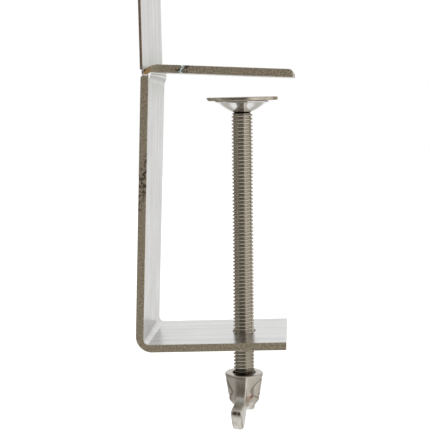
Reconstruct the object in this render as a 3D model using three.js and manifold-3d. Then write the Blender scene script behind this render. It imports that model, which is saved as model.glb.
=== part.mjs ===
// Headphone hook with a screw clamp for a desk edge.
//
// Millimetres, +Z up. The clamp screw runs along Z through the origin, +X points from the back of the clamp to
// the open ends of its arms, and Y runs across the strips. The origin is on the underside of the upper jaw.

import * as THREE from 'three';
import { mergeVertices } from 'three/addons/utils/BufferGeometryUtils.js';
import Module from 'manifold-3d';

const wasm = await Module();
wasm.setup();

// Driving dimensions.
const STRIP_WIDTH = 30;
const STRIP_THICKNESS = 2.1;
const HOOK_THICKNESS = 0.7;
const CLEARANCE = 0.05;

// The clamp's back leans and its arms toe in, as hand-bent strips do.
const BACK_INNER_X = -23.29;
const BACK_SLOPE = 0.038;
const BACK_TOP_Z = 0.25;
const BACK_TOP_CORNER_RADIUS = 0.5;
const LOWER_ARM_TOP_Z = -70.65;
const LOWER_ARM_SLOPE = 0.031;
const LOWER_ARM_END_X = 12.3;
const BEND_INNER_RADIUS = 1.5;
const BEND_OUTER_RADIUS = 4.25;
const JAW_SLOPE = -0.048;
const JAW_END_X = 14.2;
const JAW_END_RADIUS = 1.2;
const SMALL_CORNER_RADIUS = 0.15;

// The jaw's rear end is pressed down into a short nose that stands on the back.
const NOSE_TOP = [[-21.0, 3.1], [-22.5, 2.8], [-23.9, 2.1], [-24.5, 1.65]];
const NOSE_TIP = [-24.85, 1.1];
const NOSE_FOOT = [-24.15, 0.42];
const NOSE_HEEL = [-22.75, 1.12];

// Screw, its swivel pad and its wing nut.
const SCREW_RADIUS = 2.95;
const SCREW_TOP_Z = -10.2;
const SCREW_END_Z = -90.9;
const SCREW_CHAMFER = 0.5;
const NECK_RADIUS = 2.4;
const NECK_TOP_Z = -10.05;
const SPIGOT_RADIUS = 1.6;
const HEAD_RADIUS = 2.3;
const HEAD_BOTTOM_Z = -8.4;
const HEAD_TOP_Z = -7.6;
const SCREW_HOLE_RADIUS = 3.04;

const WASHER_OUTER_RADIUS = 2.45;
const WASHER_INNER_RADIUS = 1.7;
const WASHER_BOTTOM_Z = -8.8;
const WASHER_TOP_Z = -8.5;

const PAD_RADIUS = 9.8;
const PAD_TOP_Z = -5.7;
const PAD_THICKNESS = 0.9;
const PAD_RIM_CHAMFER = 0.25;
const CUP_FLANGE_RADIUS = 7.35;
const CUP_FLANGE_THICKNESS = 0.35;
const CUP_WALL = 0.6;
const CUP_HOLE_RADIUS = 1.9;
const CUP_OUTSIDE = [[7.15, -7.0], [5.6, -8.1], [4.6, -8.77], [3.6, -9.3], [2.6, -9.75]];

const NUT_TOP_Z = -82.5;
const NUT_TOP_RADIUS = 5.23;
const NUT_WAIST_RADIUS = 4.15;
const NUT_WAIST_Z = -90.2;
const NUT_END_RADIUS = 2.3;
const NUT_END_Z = -92.9;
const NUT_BORE_RADIUS = 3.0;
const NUT_BORE_FLOOR_Z = SCREW_END_Z - 0.3;
const NUT_RIM_CHAMFER = 0.3;
const WING_THICKNESS = 2.9;
const WING_TURN = THREE.MathUtils.degToRad(-7);

// The hook strip rises from the jaw, turns outwards over a bend and ends in a shallow cradle with a lip.
const HOOK_FOOT = [-24.68, 2.4];
const HOOK_LEAN = THREE.MathUtils.degToRad(0.6);
const HOOK_TWIST = THREE.MathUtils.degToRad(-1.85);
const HOOK_RISE = 36;
const CRADLE_BEND_RADIUS = 6;
const CRADLE_DIP = THREE.MathUtils.degToRad(17);
const CRADLE_RADIUS = 55;
const CRADLE_CLIMB = THREE.MathUtils.degToRad(20);
const LIP_BEND_RADIUS = 7;
const LIP_LEAN = THREE.MathUtils.degToRad(10);
const LIP_LENGTH = 6;
const LIP_CORNER_RADIUS = 5;

const ROUND_SEGMENTS = 48;
const WING_SEGMENTS = 12;
const ARC_STEP = 0.15;

const steelFace = new THREE.MeshStandardMaterial({ color: 0xcfcfcd, roughness: 0.35, metalness: 1 });
const steelDark = new THREE.MeshStandardMaterial({ color: 0x9a9286, roughness: 0.3, metalness: 1 });
const steelBright = new THREE.MeshStandardMaterial({ color: 0xd8d8d8, roughness: 0.15, metalness: 1 });
const steelWeld = new THREE.MeshStandardMaterial({ color: 0xa58a63, roughness: 0.4, metalness: 1 });
const steelCast = new THREE.MeshStandardMaterial({ color: 0xb8b2a8, roughness: 0.3, metalness: 1 });

// Solids.

function toManifold(geometry) {
  const bare = geometry.index ? geometry.toNonIndexed() : geometry.clone();
  bare.deleteAttribute('normal');
  bare.deleteAttribute('uv');
  const merged = mergeVertices(bare, 1e-5);
  const corners = merged.index.array;
  const kept = [];
  for (let i = 0; i < corners.length; i += 3) {
    const [a, b, c] = [corners[i], corners[i + 1], corners[i + 2]];
    if (a !== b && b !== c && c !== a) kept.push(a, b, c);
  }
  return new wasm.Manifold(new wasm.Mesh({
    numProp: 3,
    vertProperties: new Float32Array(merged.attributes.position.array),
    triVerts: new Uint32Array(kept),
  }));
}

function toGeometry(solid) {
  const mesh = solid.getMesh();
  const geometry = new THREE.BufferGeometry();
  geometry.setAttribute('position', new THREE.BufferAttribute(mesh.vertProperties, 3));
  geometry.setIndex(new THREE.BufferAttribute(mesh.triVerts, 1));
  geometry.computeVertexNormals();
  return geometry;
}

// A shape drawn in X and Z, given its depth along Y and centred on Y = 0.
function acrossY(shape, depth, segments = 1) {
  const geometry = new THREE.ExtrudeGeometry(shape, { depth, bevelEnabled: false, curveSegments: segments });
  geometry.rotateX(Math.PI / 2);
  geometry.translate(0, depth / 2, 0);
  return geometry;
}

// A closed outline of radius and height pairs, turned about the Z axis.
function turned(profile, segments = ROUND_SEGMENTS) {
  const points = profile.map(([radius, z]) => new THREE.Vector2(radius, z));
  const geometry = new THREE.LatheGeometry(points, segments);
  geometry.rotateX(Math.PI / 2);
  return geometry;
}

function cylinder(radius, low, high, segments = ROUND_SEGMENTS) {
  const geometry = new THREE.CylinderGeometry(radius, radius, high - low, segments);
  geometry.rotateX(Math.PI / 2);
  geometry.translate(0, 0, (low + high) / 2);
  return geometry;
}

function box(low, high) {
  const size = new THREE.Vector3().subVectors(high, low);
  const geometry = new THREE.BoxGeometry(size.x, size.y, size.z);
  geometry.translate((low.x + high.x) / 2, (low.y + high.y) / 2, (low.z + high.z) / 2);
  return geometry;
}

// A polygon with each corner [x, z, radius] rounded by its own radius.
function roundedShape(corners) {
  const outline = [];
  const count = corners.length;
  corners.forEach(([x, z, radius = 0], i) => {
    const here = new THREE.Vector2(x, z);
    const [beforeX, beforeZ] = corners[(i + count - 1) % count];
    const [afterX, afterZ] = corners[(i + 1) % count];
    const back = new THREE.Vector2(beforeX, beforeZ).sub(here).normalize();
    const ahead = new THREE.Vector2(afterX, afterZ).sub(here).normalize();
    const half = Math.acos(THREE.MathUtils.clamp(back.dot(ahead), -1, 1)) / 2;
    const start = here.clone().addScaledVector(back, radius / Math.tan(half));
    outline.push(start);
    if (radius === 0) return;
    const toCentre = back.clone().add(ahead).normalize();
    const centre = here.clone().addScaledVector(toCentre, radius / Math.sin(half));
    const sweep = Math.sign(ahead.cross(back)) * (Math.PI - 2 * half);
    const steps = Math.ceil(Math.abs(sweep) / ARC_STEP);
    for (let k = 1; k <= steps; k += 1) {
      outline.push(start.clone().rotateAround(centre, (sweep * k) / steps));
    }
  });
  return new THREE.Shape(outline);
}

// Where the line through a along slope sa meets the line through b along slope sb. Slopes are [dx, dz].
function meeting(a, sa, b, sb) {
  const cross = sa[0] * sb[1] - sa[1] * sb[0];
  const t = ((b[0] - a[0]) * sb[1] - (b[1] - a[1]) * sb[0]) / cross;
  return [a[0] + t * sa[0], a[1] + t * sa[1]];
}

// Clamp strips.

const backDirection = [BACK_SLOPE, 1];
const lowerDirection = [1, LOWER_ARM_SLOPE];
const backNormalRun = STRIP_THICKNESS * Math.hypot(1, BACK_SLOPE);
const lowerNormalDrop = STRIP_THICKNESS * Math.hypot(1, LOWER_ARM_SLOPE);
const jawNormalRise = STRIP_THICKNESS * Math.hypot(1, JAW_SLOPE);

function backBracket() {
  const inner = [BACK_INNER_X, 0];
  const outer = [BACK_INNER_X - backNormalRun, 0];
  const top = [0, LOWER_ARM_TOP_Z];
  const under = [0, LOWER_ARM_TOP_Z - lowerNormalDrop];
  const insideBend = meeting(inner, backDirection, top, lowerDirection);
  const outsideBend = meeting(outer, backDirection, under, lowerDirection);
  const onBack = (start) => start + BACK_SLOPE * BACK_TOP_Z;
  const onArm = ([, z]) => z + LOWER_ARM_SLOPE * LOWER_ARM_END_X;
  const shape = roundedShape([
    [onBack(inner[0]), BACK_TOP_Z, SMALL_CORNER_RADIUS],
    [...insideBend, BEND_INNER_RADIUS],
    [LOWER_ARM_END_X, onArm(top), SMALL_CORNER_RADIUS],
    [LOWER_ARM_END_X, onArm(under), SMALL_CORNER_RADIUS],
    [...outsideBend, BEND_OUTER_RADIUS],
    [onBack(outer[0]), BACK_TOP_Z, BACK_TOP_CORNER_RADIUS],
  ]);
  const strip = toManifold(acrossY(shape, STRIP_WIDTH));
  const under10 = LOWER_ARM_TOP_Z - 10;
  const over10 = LOWER_ARM_TOP_Z + 10;
  return toGeometry(strip.subtract(toManifold(cylinder(SCREW_HOLE_RADIUS, under10, over10))));
}

function jawArm() {
  const endBottom = JAW_SLOPE * JAW_END_X;
  const endTop = endBottom + jawNormalRise;
  const shape = roundedShape([
    [JAW_END_X, endBottom, SMALL_CORNER_RADIUS],
    [JAW_END_X, endTop, JAW_END_RADIUS],
    ...NOSE_TOP.map((point) => [...point, 0]),
    [...NOSE_TIP, 0.3],
    [...NOSE_FOOT, 0.4],
    [...NOSE_HEEL, 0],
    [NOSE_HEEL[0] + 1, JAW_SLOPE * (NOSE_HEEL[0] + 1), 0],
  ]);
  return acrossY(shape, STRIP_WIDTH);
}

// Weld along the inside corner, between the foot of the nose, the jaw's underside and the back's inner face.
function innerWeld() {
  const face = (z) => BACK_INNER_X + BACK_SLOPE * z + CLEARANCE;
  const shape = roundedShape([
    [face(-1.6), -1.6, 0],
    [face(0.1), 0.1, 0],
    [-23.3, 0.62, 0],
    [-22.65, 1.0, 0],
    [-22.1, 1.0, 0],
    [-22.3, 0.3, 0],
    [-22.7, -0.7, 0.6],
  ]);
  return acrossY(shape, STRIP_WIDTH - 1.0);
}

// Weld along the outside corner, between the nose, the top of the back and the foot of the hook strip.
function outerWeld() {
  const shape = roundedShape([
    [-24.45, 0.33],
    [-24.93, 1.0],
    [-24.8, 1.75],
    [-24.85, 2.3],
    [-25.1, 2.3],
    [-25.25, 1.6],
    [-25.25, 0.6],
    [-25.1, 0.33],
  ]);
  return acrossY(shape, STRIP_WIDTH - 3.0);
}

// Hook strip.

// Follows a path of straight runs and bends from start, heading along angle, and returns its centre line.
function centreLine(start, angle, moves) {
  const points = [new THREE.Vector2(...start)];
  let heading = angle;
  for (const { length, radius, turn } of moves) {
    const last = points[points.length - 1];
    if (length) {
      points.push(last.clone().add(new THREE.Vector2(Math.cos(heading), Math.sin(heading)).multiplyScalar(length)));
      continue;
    }
    const side = Math.sign(turn);
    const centre = new THREE.Vector2(-Math.sin(heading), Math.cos(heading)).multiplyScalar(side * radius).add(last);
    const steps = Math.ceil(Math.abs(turn) / ARC_STEP);
    for (let i = 1; i <= steps; i += 1) {
      points.push(last.clone().rotateAround(centre, (turn * i) / steps));
    }
    heading += turn;
  }
  return points;
}

function ribbonShape(points, thickness) {
  const left = [];
  const right = [];
  points.forEach((point, i) => {
    const before = points[Math.max(i - 1, 0)];
    const after = points[Math.min(i + 1, points.length - 1)];
    const along = after.clone().sub(before).normalize();
    const aside = new THREE.Vector2(-along.y, along.x).multiplyScalar(thickness / 2);
    left.push(point.clone().add(aside));
    right.push(point.clone().sub(aside));
  });
  return new THREE.Shape([...left, ...right.reverse()]);
}

function hookStrip() {
  const upright = Math.PI / 2 + HOOK_LEAN;
  const overBend = Math.PI + CRADLE_DIP - upright;
  const points = centreLine(HOOK_FOOT, upright, [
    { length: HOOK_RISE },
    { radius: CRADLE_BEND_RADIUS, turn: overBend },
    { radius: CRADLE_RADIUS, turn: -(CRADLE_DIP + CRADLE_CLIMB) },
    { radius: LIP_BEND_RADIUS, turn: -(Math.PI / 2 - CRADLE_CLIMB - LIP_LEAN) },
    { length: LIP_LENGTH },
  ]);
  const strip = toManifold(acrossY(ribbonShape(points, HOOK_THICKNESS), STRIP_WIDTH));
  const tip = points[points.length - 1];
  const half = STRIP_WIDTH / 2;
  const reach = 2 * HOOK_THICKNESS;
  const slab = box(
    new THREE.Vector3(tip.x - reach, -half - 1, tip.y - LIP_CORNER_RADIUS),
    new THREE.Vector3(tip.x + reach, half + 1, tip.y + 1),
  );
  const rounded = roundedShape([
    [-half, tip.y - 2 * LIP_CORNER_RADIUS, 0],
    [half, tip.y - 2 * LIP_CORNER_RADIUS, 0],
    [half, tip.y, LIP_CORNER_RADIUS],
    [-half, tip.y, LIP_CORNER_RADIUS],
  ]);
  const outline = acrossY(rounded, 4 * reach);
  outline.rotateZ(Math.PI / 2);
  outline.translate(tip.x, 0, 0);
  return toGeometry(strip.subtract(toManifold(slab).subtract(toManifold(outline))));
}

// Screw, swivel pad and wing nut.

function clampScrew() {
  return turned([
    [0, SCREW_END_Z],
    [SCREW_RADIUS - SCREW_CHAMFER, SCREW_END_Z],
    [SCREW_RADIUS, SCREW_END_Z + SCREW_CHAMFER],
    [SCREW_RADIUS, SCREW_TOP_Z - SCREW_CHAMFER],
    [NECK_RADIUS, SCREW_TOP_Z],
    [NECK_RADIUS, NECK_TOP_Z],
    [SPIGOT_RADIUS, NECK_TOP_Z],
    [SPIGOT_RADIUS, HEAD_BOTTOM_Z],
    [HEAD_RADIUS, HEAD_BOTTOM_Z],
    [HEAD_RADIUS, HEAD_TOP_Z - 0.3],
    [HEAD_RADIUS - 0.5, HEAD_TOP_Z],
    [0, HEAD_TOP_Z],
  ]);
}

function retainingWasher() {
  return turned([
    [WASHER_INNER_RADIUS, WASHER_BOTTOM_Z],
    [WASHER_OUTER_RADIUS, WASHER_BOTTOM_Z],
    [WASHER_OUTER_RADIUS, WASHER_TOP_Z],
    [WASHER_INNER_RADIUS, WASHER_TOP_Z],
    [WASHER_INNER_RADIUS, WASHER_BOTTOM_Z],
  ]);
}

function padDisc() {
  const under = PAD_TOP_Z - PAD_THICKNESS;
  return turned([
    [0, under],
    [PAD_RADIUS - PAD_RIM_CHAMFER, under],
    [PAD_RADIUS, PAD_TOP_Z - PAD_RIM_CHAMFER],
    [PAD_RADIUS - PAD_RIM_CHAMFER, PAD_TOP_Z],
    [0, PAD_TOP_Z],
  ]);
}

function padCup() {
  const top = PAD_TOP_Z - PAD_THICKNESS - CLEARANCE;
  const inside = CUP_OUTSIDE.map(([radius, z]) => [radius - 0.55 * CUP_WALL, z + CUP_WALL]);
  const [, floor] = CUP_OUTSIDE[CUP_OUTSIDE.length - 1];
  const [mouth] = CUP_OUTSIDE[0];
  const profile = [
    [CUP_HOLE_RADIUS, floor],
    ...[...CUP_OUTSIDE].reverse(),
    [CUP_FLANGE_RADIUS, top - CUP_FLANGE_THICKNESS],
    [CUP_FLANGE_RADIUS, top],
    [mouth - CUP_WALL, top],
    ...inside.slice(1),
    [CUP_HOLE_RADIUS, floor + CUP_WALL],
    [CUP_HOLE_RADIUS, floor],
  ];
  return turned(profile);
}

// One wing, drawn outwards along X: its upper edge falls from the nut's rim and flares out to a round tip.
function wingShape() {
  const shape = new THREE.Shape();
  shape.moveTo(3.2, -83.0);
  shape.lineTo(5.1, -83.0);
  shape.bezierCurveTo(5.5, -87.8, 6.6, -89.5, 9.6, -89.6);
  shape.bezierCurveTo(11.7, -89.65, 12.8, -90.6, 12.8, -92.0);
  shape.bezierCurveTo(12.8, -94.6, 11.2, -96.15, 9.2, -96.15);
  shape.bezierCurveTo(7.0, -96.15, 6.4, -93.4, 3.6, -91.4);
  shape.lineTo(3.2, -90.6);
  shape.closePath();
  return shape;
}

function wingNut() {
  const body = toManifold(turned([
    [0, NUT_END_Z],
    [NUT_END_RADIUS, NUT_END_Z],
    [NUT_WAIST_RADIUS, NUT_WAIST_Z],
    [NUT_TOP_RADIUS, NUT_TOP_Z - NUT_RIM_CHAMFER],
    [NUT_TOP_RADIUS - NUT_RIM_CHAMFER, NUT_TOP_Z],
    [0, NUT_TOP_Z],
  ]));
  const wing = acrossY(wingShape(), WING_THICKNESS, WING_SEGMENTS);
  const wings = toManifold(wing).add(toManifold(wing.clone().rotateZ(Math.PI)));
  const bore = toManifold(cylinder(NUT_BORE_RADIUS, NUT_BORE_FLOOR_Z, NUT_TOP_Z + 6));
  return toGeometry(body.add(wings).subtract(bore)).rotateZ(Math.PI / 2 + WING_TURN);
}

// Assembly.

function piece(name, geometry, material) {
  const mesh = new THREE.Mesh(geometry, material);
  mesh.name = name;
  return mesh;
}

const hook = piece('hook_strip', hookStrip(), steelFace);
hook.geometry.translate(-HOOK_FOOT[0], 0, 0);
hook.position.set(HOOK_FOOT[0], 0, 0);
hook.rotation.z = HOOK_TWIST;

const frame = new THREE.Group();
frame.add(piece('back_bracket', backBracket(), steelFace));
frame.add(piece('jaw_arm', jawArm(), steelFace));
frame.add(hook);
frame.add(piece('inner_weld', innerWeld(), steelWeld));
frame.add(piece('outer_weld', outerWeld(), steelWeld));

const screw = new THREE.Group();
screw.add(piece('clamp_screw', clampScrew(), steelDark));
screw.add(piece('wing_nut', wingNut(), steelCast));

const pad = new THREE.Group();
pad.add(piece('retaining_washer', retainingWasher(), steelDark));
pad.add(piece('pad_cup', padCup(), steelBright));
pad.add(piece('pad_disc', padDisc(), steelDark));

const headphoneHook = new THREE.Group();
headphoneHook.add(frame, screw, pad);

export default headphoneHook;
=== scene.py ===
"""Headphone hook with a screw clamp: the looks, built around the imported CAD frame.

Lengths are in millimetres and are turned into Blender's metres by MM. +Z is up along the clamp screw, +X is
from the clamp's back to the open ends of its arms, and Y runs across the strips, with the front at -Y.
"""

from math import acos, atan2, ceil, cos, degrees, pi, radians, sin, sqrt, tan

import bmesh
import bpy
import numpy as np
import openvdb
from mathutils import Matrix, Vector, noise


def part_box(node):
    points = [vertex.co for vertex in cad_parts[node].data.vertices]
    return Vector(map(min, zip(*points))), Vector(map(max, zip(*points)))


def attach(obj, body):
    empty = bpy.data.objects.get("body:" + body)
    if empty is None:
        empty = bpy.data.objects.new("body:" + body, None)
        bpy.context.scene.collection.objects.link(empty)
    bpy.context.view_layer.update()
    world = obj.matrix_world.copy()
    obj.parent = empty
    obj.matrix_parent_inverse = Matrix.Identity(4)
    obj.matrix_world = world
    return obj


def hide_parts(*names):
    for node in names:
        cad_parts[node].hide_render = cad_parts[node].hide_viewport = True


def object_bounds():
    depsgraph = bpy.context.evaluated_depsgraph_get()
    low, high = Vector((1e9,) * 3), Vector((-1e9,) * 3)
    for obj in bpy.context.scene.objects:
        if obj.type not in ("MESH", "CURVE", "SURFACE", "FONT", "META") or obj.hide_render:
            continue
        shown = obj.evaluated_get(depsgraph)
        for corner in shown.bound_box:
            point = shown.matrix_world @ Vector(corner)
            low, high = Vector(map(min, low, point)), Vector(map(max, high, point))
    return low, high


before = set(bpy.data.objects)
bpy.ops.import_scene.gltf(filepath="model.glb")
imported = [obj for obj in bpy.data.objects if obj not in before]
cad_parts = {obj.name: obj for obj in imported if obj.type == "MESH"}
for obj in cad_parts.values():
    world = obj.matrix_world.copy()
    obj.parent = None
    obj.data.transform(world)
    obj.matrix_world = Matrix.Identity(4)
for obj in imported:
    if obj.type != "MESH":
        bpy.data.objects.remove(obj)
cad_low, cad_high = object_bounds()

MM = 0.001


def corners(name):
    """Lowest and highest corner of a CAD node, in millimetres."""
    low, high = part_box(name)
    return low / MM, high / MM


_, back_high = corners("back_bracket")
_, jaw_high = corners("jaw_arm")
_, cup_high = corners("pad_cup")
screw_low, screw_high = corners("clamp_screw")
disc_low, disc_high = corners("pad_disc")
nut_low, nut_high = corners("wing_nut")

# Strips of the clamp.
HALF_WIDTH = jaw_high.y
STRIP_THICKNESS = 2.1
BACK_FACE_X = -23.29
BACK_SLOPE = 0.038
BACK_TOP_Z = back_high.z
BACK_TOP_ROUND = 0.6
BACK_TOP_INNER_ROUND = 0.3
ARM_FACE_Z = -70.65
ARM_SLOPE = 0.031
ARM_END_X = back_high.x
ARM_END_SKEW = 0.6
ARM_SKEW_LENGTH = 4
BEND_INNER_RADIUS = 1.5
BEND_OUTER_RADIUS = 4.25
JAW_SLOPE = -0.048
JAW_END_X = jaw_high.x
JAW_END_ROUND = 1.0
EDGE_ROUND = 0.12
HOLE_RADIUS = 3.04
HOLE_CHAMFER = 0.22

# The jaw's rear end, pressed down into a nose: pairs of a point on its top and a point on its underside.
NOSE_PAIRS = [
    ((-24.82, 1.2), (-24.76, 0.96)),
    ((-24.7, 1.42), (-24.58, 0.74)),
    ((-24.4, 1.76), (-24.22, 0.47)),
    ((-23.9, 2.12), (-23.82, 0.4)),
    ((-23.3, 2.45), (-23.35, 0.68)),
    ((-22.5, 2.8), (-22.72, 1.1)),
    ((-21.75, 2.97), (-21.9, 1.07)),
]
NOSE_END_X = -21.0

# Screw thread, M6 coarse, with worn round crests.
PITCH = 1.0
THREAD_RADIUS = screw_high.x
THREAD_DEPTH = 0.58
CREST_SHARPNESS = 1.8
POINTS_PER_PITCH = 12
STEPS_PER_TURN = 48
THREAD_TOP_Z = -10.08
THREAD_PHASE = -1.95
THREAD_END_CHAMFER = 0.55
THREAD_END_SLOPE = 1.2
THREAD_TOP_SLOPE = 3.0
NECK_RADIUS = 2.45

# The rod above its thread, as (radius, z): neck, spigot, and the peened head that holds the washer.
ROD_TOP = [
    (NECK_RADIUS, -9.98),
    (2.2, -9.98),
    (2.2, -9.3),
    (1.6, -9.2),
    (1.6, -8.4),
    (2.3, -8.4),
    (2.3, -7.9),
    (1.8, screw_high.z),
]

# Hook strip.
HOOK_THICKNESS = 0.7
HOOK_FOOT = (-24.68, 2.4)
HOOK_LEAN = radians(0.6)
HOOK_TWIST = radians(-1.85)
HOOK_RISE = 35.95
CRADLE_BEND_RADIUS = 6
CRADLE_DIP = radians(17)
CRADLE_RADIUS = 55
CRADLE_CLIMB = radians(20)
LIP_BEND_RADIUS = 7
LIP_LEAN = radians(10)
LIP_LENGTH = 6
LIP_CORNER_RADIUS = 5
FOOT_SLANT = 0.6
FOOT_SLANT_LENGTH = 3

# Wing nut.
NUT_TURN = radians(83)
OVAL_Z = -86.7
OVAL_HALF_WIDTH = 3.6
OVAL_HALF_HEIGHT = 2.7
GROOVE_HALF_WIDTH = 0.22
GROOVE_DEPTH = 0.2

STRIP_UV = "strip"
FACE, EDGE = 0, 1


# ---- Shader nodes ----


def feed(tree, shader_node, inputs):
    """Sets a shader node's inputs, each to a number, a tuple, or another node's output socket."""
    for name, value in inputs.items():
        if isinstance(value, bpy.types.NodeSocket):
            tree.links.new(value, shader_node.inputs[name])
        else:
            shader_node.inputs[name].default_value = value


def node(tree, kind, inputs=None, **settings):
    made = tree.nodes.new("ShaderNode" + kind)
    for name, value in settings.items():
        setattr(made, name, value)
    feed(tree, made, inputs or {})
    return made


def calculate(tree, operation, first, second=0.0):
    return node(tree, "Math", {0: first, 1: second}, operation=operation).outputs[0]


def plus(tree, first, second):
    return calculate(tree, "ADD", first, second)


def minus(tree, first, second):
    return calculate(tree, "SUBTRACT", first, second)


def times(tree, first, second):
    return calculate(tree, "MULTIPLY", first, second)


def on_line(tree, value, slope, start):
    """start + slope x value."""
    return node(tree, "Math", {0: value, 1: slope, 2: start}, operation="MULTIPLY_ADD").outputs[0]


def combine(tree, operation, first, second=(0, 0, 0)):
    """A vector made from vectors."""
    return node(tree, "VectorMath", {0: first, 1: second}, operation=operation).outputs["Vector"]


def measure(tree, operation, first, second=(0, 0, 0)):
    """A number measured on vectors."""
    return node(tree, "VectorMath", {0: first, 1: second}, operation=operation).outputs["Value"]


def blend(tree, factor, first, second, mode="MIX"):
    made = node(tree, "Mix", {0: factor, 6: first, 7: second}, data_type="RGBA", blend_type=mode)
    return made.outputs[2]


def cover(tree, colour, mask, strength, paint):
    """Lays paint over a colour where the mask is 1, as thickly as the strength says."""
    return blend(tree, times(tree, mask, strength), colour, paint)


def fade(tree, value, start, end):
    """0 below start, 1 above end. With start above end it falls instead."""
    inputs = {"Value": value, "From Min": start, "From Max": end}
    return node(tree, "MapRange", inputs, interpolation_type="SMOOTHSTEP").outputs[0]


def colour_ramp(tree, value, stops):
    made = node(tree, "ValToRGB", {"Fac": value})
    elements = made.color_ramp.elements
    for index, (position, colour) in enumerate(stops):
        stop = elements[index] if index < 2 else elements.new(position)
        stop.position = position
        stop.color = (*colour, 1.0)
    return made.outputs["Color"]


def millimetres(tree):
    """The piece's own coordinates, in millimetres."""
    place = node(tree, "TexCoord").outputs["Object"]
    return node(tree, "VectorMath", {0: place, "Scale": 1 / MM}, operation="SCALE").outputs[0]


def stretched_noise(tree, place, scale, detail=2.0, roughness=0.5):
    """Noise with its own scale along each axis."""
    scaled = combine(tree, "MULTIPLY", place, scale)
    inputs = {"Vector": scaled, "Scale": 1.0, "Detail": detail, "Roughness": roughness}
    return node(tree, "TexNoise", inputs).outputs["Fac"]


def even_noise(tree, place, scale, detail=2.0, roughness=0.5):
    return stretched_noise(tree, place, (scale, scale, scale), detail, roughness)


def distance_along_y(tree, place, x, z):
    """Distance to the line through x and z that runs along Y."""
    return measure(tree, "DISTANCE", combine(tree, "MULTIPLY", place, (1, 0, 1)), (x, 0, z))


def axis_of(tree, place, axis):
    return node(tree, "SeparateXYZ", {0: place}).outputs[axis]


def radius_of(tree, place):
    """Distance from the Z axis."""
    return measure(tree, "LENGTH", combine(tree, "MULTIPLY", place, (1, 1, 0)))


def bump(tree, height, distance, strength=1.0):
    inputs = {"Height": height, "Distance": distance * MM, "Strength": strength}
    return node(tree, "Bump", inputs).outputs["Normal"]


def make_material(name, paint):
    """A material, metal unless paint says otherwise. paint(tree) returns the shader's inputs."""
    material = bpy.data.materials.new(name)
    material.use_nodes = True
    tree = material.node_tree
    feed(tree, tree.nodes["Principled BSDF"], {"Metallic": 1.0, **paint(tree)})
    return material


# ---- Materials ----

WELD_X, WELD_Z = -23.2, 0.4
# Height and slant along Y of the inner bead's ridge, where its painted highlight runs.
WELD_RIDGE_Z = 0.2
WELD_RIDGE_SLANT = 0.027
# Centre of the nose's heat colours, and of the painted shadow in the crevice under the hook's foot.
NOSE_CREASE = (-24.45, 1.85)
NOSE_UNDER_Z = 0.4
NICK_TOP = (-14.36, 2.51)
NICK_FOOT = (-15.0, 0.72)

# Colour of worn bright steel seen at a grazing angle.
GRAZING_TINT = (0.6, 0.54, 0.48, 1)

# Spots on the nut: centre, and how far each reaches.
RUST_SPOTS = [((-3.52, -2.2, -89.4), 0.45), ((2.25, -3.7, -88.5), 0.55), ((3.99, -1.8, -88.2), 0.4)]
RUST_STAIN = ((1.0, -4.15, -89.1), 1.1)
# Painted reflections of the dark room, as dark spots on the front of a wing's tip.
REFLECTION_SPOTS = [((-1.75, -12.5, -90.6), 0.55), ((-0.55, -12.5, -90.9), 0.5)]


def paint_brushed(tree):
    """Steel brushed along the strip: broad soft bands, faint grain, smudges and a dull zone by the weld."""
    pale, dull, dark = (0.72, 0.72, 0.715, 1), (0.64, 0.64, 0.635, 1), (0.56, 0.56, 0.55, 1)
    weld_tint = (0.8, 0.81, 0.78, 1)
    place = millimetres(tree)
    along = node(tree, "UVMap", uv_map=STRIP_UV).outputs[0]
    bands = stretched_noise(tree, along, (0.012, 0.3, 1))
    grain = stretched_noise(tree, along, (0.05, 4.5, 1))
    smudges = even_noise(tree, place, 0.11, detail=3.0)
    colour = blend(tree, fade(tree, bands, 0.36, 0.66), pale, dull)
    colour = cover(tree, colour, fade(tree, grain, 0.45, 0.8), 0.16, dark)
    near_weld = fade(tree, distance_along_y(tree, place, WELD_X, WELD_Z), 8.5, 1.2)
    return {
        "Base Color": blend(tree, near_weld, colour, weld_tint, "MULTIPLY"),
        "Roughness": plus(tree, on_line(tree, grain, 0.1, 0.15), times(tree, smudges, 0.12)),
        "Anisotropic": 0.6,
        "Anisotropic Rotation": 0.25,
        "Tangent": node(tree, "Tangent", direction_type="UV_MAP", uv_map=STRIP_UV).outputs[0],
        "Normal": bump(tree, grain, 0.004, 0.4),
    }


def mottled_edge(tree, place, light, dark):
    """Colour and mottling of a sheared edge."""
    middle = tuple((a + b) / 2 for a, b in zip(light, dark))
    fine = even_noise(tree, place, 2.2, detail=4.0, roughness=0.75)
    patches = even_noise(tree, place, 0.3)
    colour = blend(tree, fade(tree, fine, 0.38, 0.62), dark, light)
    return cover(tree, colour, fade(tree, patches, 0.4, 0.7), 0.5, middle), fine


def nick_masks(tree, place, x, z):
    """A short broken nick that runs down the jaw's front edge, and the dirt on both sides of it."""
    run = (NICK_FOOT[0] - NICK_TOP[0]) / (NICK_FOOT[1] - NICK_TOP[1])
    line = on_line(tree, z, run, NICK_TOP[0] - run * NICK_TOP[1])
    wobble = stretched_noise(tree, place, (1.9, 0, 1.9), detail=3.0, roughness=0.7)
    wobble = times(tree, minus(tree, wobble, 0.5), 3.4)
    aside = calculate(tree, "ABSOLUTE", plus(tree, minus(tree, x, line), wobble))
    broken = fade(tree, stretched_noise(tree, place, (2.1, 0, 2.1), detail=3.0), 0.4, 0.52)
    chip = times(tree, fade(tree, aside, 0.5, 0.15), broken)
    chip = times(tree, chip, fade(tree, z, NICK_FOOT[1] - 0.1, NICK_FOOT[1] + 0.1))
    grime = fade(tree, stretched_noise(tree, place, (1.1, 0, 1.1), detail=3.0), 0.46, 0.56)
    return chip, times(tree, grime, fade(tree, aside, 2.3, 1.1))


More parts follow.
